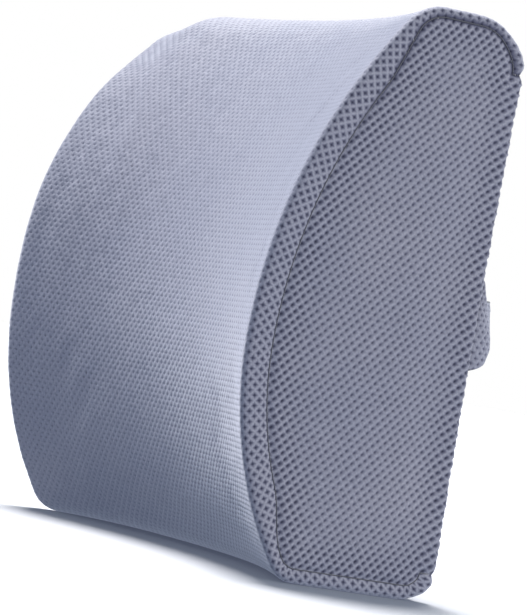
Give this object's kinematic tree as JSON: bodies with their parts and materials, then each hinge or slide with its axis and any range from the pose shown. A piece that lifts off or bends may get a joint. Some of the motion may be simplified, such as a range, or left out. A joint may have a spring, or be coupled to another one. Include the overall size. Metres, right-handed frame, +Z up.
{
  "type": "lumbar support cushion",
  "caption": "Saddle-fronted lumbar cushion: foam block in a zipped spacer-mesh cover with an elastic chair strap and side-release buckle behind it.",
  "frame": {"origin": "centre of the bounding box's bottom face, so that the cushion stands upright on z = 0", "axes": "+Z up, +X across the cushion along its width, +Y from the saddle front to the flat back and the strap"},
  "size_m": [0.34, 0.161, 0.32],
  "materials": {
    "spacer_mesh": "polyester 3D spacer mesh, blue-grey",
    "liner_knit": "thin white knit",
    "memory_foam": "open-cell polyurethane foam",
    "zipper_tape": "woven polyester tape",
    "zipper_coil": "nylon coil",
    "zipper_metal": "painted zinc",
    "elastic_webbing": "knitted elastic",
    "buckle_plastic": "moulded acetal"
  },
  "bodies": {
    "cushion": {"foam_core": "memory_foam", "inner_liner": "liner_knit", "front_panel": "spacer_mesh", "side_panel_left": "spacer_mesh", "side_panel_right": "spacer_mesh", "back_panel_upper": "spacer_mesh", "back_panel_lower": "spacer_mesh", "zipper_tape_upper": "zipper_tape", "zipper_tape_lower": "zipper_tape", "zipper_coil_upper": "zipper_coil", "zipper_coil_lower": "zipper_coil", "zipper_end_stops": "zipper_metal", "strap_tab_left": "spacer_mesh", "strap_tab_right": "spacer_mesh"},
    "zip_slider": {"zipper_slider": "zipper_metal"},
    "zip_pull": {"zipper_pull": "zipper_metal"},
    "strap_middle": {"buckle_socket": "buckle_plastic", "elastic_strap_right": "elastic_webbing"},
    "strap_plug": {"buckle_plug": "buckle_plastic", "buckle_plug_arms": "buckle_plastic", "elastic_strap_left": "elastic_webbing"},
    "keeper": {"strap_keeper": "buckle_plastic"}
  },
  "joints": [
    {"name": "zip_slide", "type": "slide", "parent": "cushion", "child": "zip_slider", "axis": [1, 0, 0], "range_m": [0, 0.27], "deforming": ["zipper_coil_upper", "zipper_coil_lower"]},
    {"name": "zip_pull_swing", "type": "hinge", "parent": "zip_slider", "child": "zip_pull", "pos_m": [-0.1355, 0.0557, 0.058], "axis": [0, 0, 1], "range_deg": [0, 170]},
    {"name": "strap_stretch", "type": "slide", "parent": "cushion", "child": "strap_middle", "axis": [0, 1, 0], "range_m": [0, 0.06], "stiffness_N_per_m": 150},
    {"name": "buckle_release", "type": "slide", "parent": "strap_middle", "child": "strap_plug", "axis": [-1, 0, 0], "range_m": [0, 0.035], "deforming": ["buckle_plug_arms"]},
    {"name": "keeper_slide", "type": "slide", "parent": "strap_middle", "child": "keeper", "axis": [1, 0, 0], "range_m": [-0.024, 0.016]}
  ]
}
